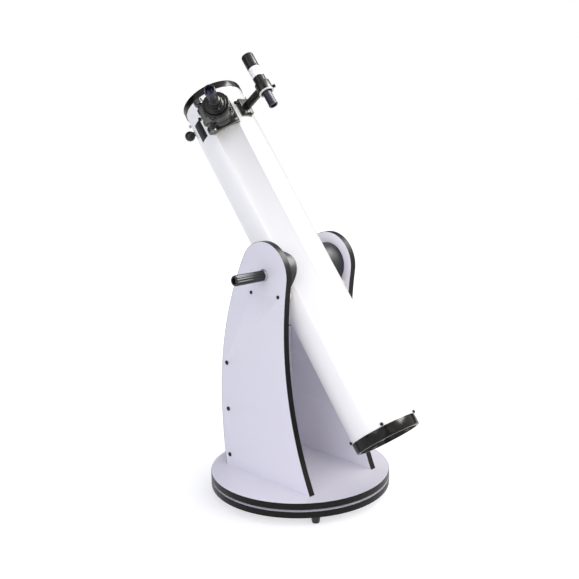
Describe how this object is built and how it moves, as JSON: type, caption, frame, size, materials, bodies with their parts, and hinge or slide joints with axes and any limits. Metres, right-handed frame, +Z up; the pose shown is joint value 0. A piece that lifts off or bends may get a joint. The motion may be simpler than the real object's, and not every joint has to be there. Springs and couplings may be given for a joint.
{
  "type": "reflector telescope",
  "caption": "Solid-tube Newtonian reflector on a wooden rocker-box altazimuth mount with rack focuser, finder scope, tension handle and round turning base.",
  "frame": {"origin": "on the azimuth axis at floor level", "axes": "+Z up along the azimuth axis; +Y is the way the tube points over the ground; X is the altitude axis, with the tension handle on the -X side"},
  "size_m": [0.5199, 0.8227, 1.2548],
  "materials": {
    "white_board": "white melamine-faced chipboard, satin",
    "black_band": "black PVC edge band",
    "black_plastic": "black moulded plastic, fine texture",
    "black_gloss_plastic": "black moulded plastic, smooth",
    "nylon": "natural nylon",
    "zinc_steel": "zinc-plated steel",
    "white_paint": "gloss white enamel on rolled steel, matt black inside",
    "black_paint": "black powder coat",
    "black_steel": "blackened steel",
    "mirror_glass": "aluminised glass",
    "chrome": "polished chrome plate",
    "brass": "machined brass",
    "black_rubber": "moulded rubber",
    "coated_glass": "coated optical glass",
    "black_anodised": "black anodised aluminium"
  },
  "bodies": {
    "ground": {"ground_board": "white_board", "ground_edge_band": "black_band", "ground_feet": "black_rubber", "foot_screws": "zinc_steel", "glide_pads": "nylon", "azimuth_bolt": "zinc_steel", "azimuth_lock_nut": "zinc_steel"},
    "rocker": {"rocker_board": "white_board", "rocker_edge_band": "black_band", "azimuth_bushing": "nylon", "side_board_left": "white_board", "side_board_right": "white_board", "front_board": "white_board", "board_edge_bands": "black_band", "board_screws": "black_steel", "altitude_posts": "nylon"},
    "tube": {"main_tube": "white_paint", "front_ring": "black_paint", "rear_ring": "black_paint", "tube_screws": "zinc_steel", "mirror_cell": "black_anodised", "primary_mirror": "mirror_glass", "mirror_clips": "black_plastic", "collimation_springs": "zinc_steel", "spider_hub": "black_anodised", "spider_vanes": "black_steel", "secondary_holder": "black_anodised", "secondary_mirror": "mirror_glass", "secondary_screws": "zinc_steel", "altitude_hub_left": "black_plastic", "altitude_hub_right": "black_plastic", "guide_knob": "black_gloss_plastic", "focuser_base": "black_gloss_plastic", "focuser_screws": "zinc_steel", "focuser_body": "black_gloss_plastic", "pinion_cover": "black_gloss_plastic", "finder_shoe": "black_gloss_plastic"},
    "tension_handle": {"tension_handle": "black_rubber", "handle_stud": "zinc_steel"},
    "collimation_knob_1": {"collimation_knob_1": "black_gloss_plastic"},
    "collimation_knob_2": {"collimation_knob_2": "black_gloss_plastic"},
    "collimation_knob_3": {"collimation_knob_3": "black_gloss_plastic"},
    "drawtube": {"drawtube": "black_anodised", "focus_rack": "black_plastic", "eyepiece_adapter": "black_anodised"},
    "focus_shaft": {"focus_pinion": "brass", "focus_knobs": "black_gloss_plastic"},
    "focus_lock": {"focus_lock_screw": "black_steel"},
    "eyepiece_lock": {"adapter_thumbscrew": "chrome"},
    "eyepiece": {"eyepiece": "black_anodised", "eyepiece_lens": "coated_glass"},
    "finder_lock": {"finder_shoe_screw": "chrome"},
    "finder": {"finder_bracket": "black_gloss_plastic", "finder_tube": "white_paint", "finder_rear_sleeve": "black_anodised", "finder_eyepiece": "black_anodised"},
    "finder_cell": {"finder_front_cell": "black_anodised", "finder_lens": "coated_glass"},
    "finder_adjuster_1": {"finder_screw_1": "chrome"},
    "finder_adjuster_2": {"finder_screw_2": "chrome"}
  },
  "joints": [
    {"name": "azimuth", "type": "hinge", "parent": "ground", "child": "rocker", "pos_m": [0, 0, 0.06], "axis": [0, 0, 1], "continuous": true},
    {"name": "altitude", "type": "hinge", "parent": "rocker", "child": "tube", "pos_m": [0, -0.012, 0.655], "axis": [1, 0, 0], "range_deg": [-52.7, 37.3]},
    {"name": "tension_handle_turn", "type": "hinge", "parent": "tube", "child": "tension_handle", "pos_m": [0, -0.012, 0.655], "axis": [1, 0, 0], "range_deg": [0, 180]},
    {"name": "collimation_turn_1", "type": "hinge", "parent": "tube", "child": "collimation_knob_1", "pos_m": [0, -0.27976, 0.2078], "axis": [0, -0.606, -0.7955], "range_deg": [-180, 180]},
    {"name": "collimation_turn_2", "type": "hinge", "parent": "tube", "child": "collimation_knob_2", "pos_m": [-0.05023, -0.34897, 0.26052], "axis": [0, -0.606, -0.7955], "range_deg": [-180, 180]},
    {"name": "collimation_turn_3", "type": "hinge", "parent": "tube", "child": "collimation_knob_3", "pos_m": [0.05023, -0.34897, 0.26052], "axis": [0, -0.606, -0.7955], "range_deg": [-180, 180]},
    {"name": "focus_slide", "type": "slide", "parent": "tube", "child": "drawtube", "axis": [-0.7071, -0.5625, 0.4285], "range_m": [0, 0.035]},
    {"name": "focus_turn", "type": "hinge", "parent": "tube", "child": "focus_shaft", "pos_m": [-0.11526, 0.23643, 1.07796], "axis": [0, 0.606, 0.7955], "range_deg": [-345, 345]},
    {"name": "focus_lock_turn", "type": "hinge", "parent": "tube", "child": "focus_lock", "pos_m": [-0.12374, 0.24318, 1.07282], "axis": [-0.7071, 0.5625, -0.4285], "range_deg": [0, 180]},
    {"name": "eyepiece_lock_turn", "type": "hinge", "parent": "drawtube", "child": "eyepiece_lock", "pos_m": [-0.12233, 0.17308, 1.09982], "axis": [0, -0.606, -0.7955], "range_deg": [0, 180]},
    {"name": "eyepiece_slide", "type": "slide", "parent": "drawtube", "child": "eyepiece", "axis": [-0.7071, -0.5625, 0.4285], "range_m": [0, 0.03]},
    {"name": "finder_lock_turn", "type": "hinge", "parent": "tube", "child": "finder_lock", "pos_m": [-0.02089, 0.20929, 1.11498], "axis": [-0.9976, -0.0555, 0.0423], "range_deg": [0, 180]},
    {"name": "finder_slide", "type": "slide", "parent": "tube", "child": "finder", "axis": [0, 0.606, 0.7955], "range_m": [0, 0.05]},
    {"name": "finder_focus_turn", "type": "hinge", "parent": "finder", "child": "finder_cell", "pos_m": [0.01325, 0.17658, 1.21532], "axis": [0, 0.606, 0.7955], "range_deg": [-180, 180]},
    {"name": "finder_adjust_turn_1", "type": "hinge", "parent": "finder", "child": "finder_adjuster_1", "pos_m": [-0.00118, 0.11187, 1.15777], "axis": [-0.6561, -0.6004, 0.4573], "range_deg": [-180, 180]},
    {"name": "finder_adjust_turn_2", "type": "hinge", "parent": "finder", "child": "finder_adjuster_2", "pos_m": [0.02986, 0.11359, 1.15645], "axis": [0.7547, -0.5219, 0.3976], "range_deg": [-180, 180]}
  ],
  "couplings": [
    {"joint": "focus_turn", "follows": "focus_slide", "rad_per_m": -166.67}
  ]
}
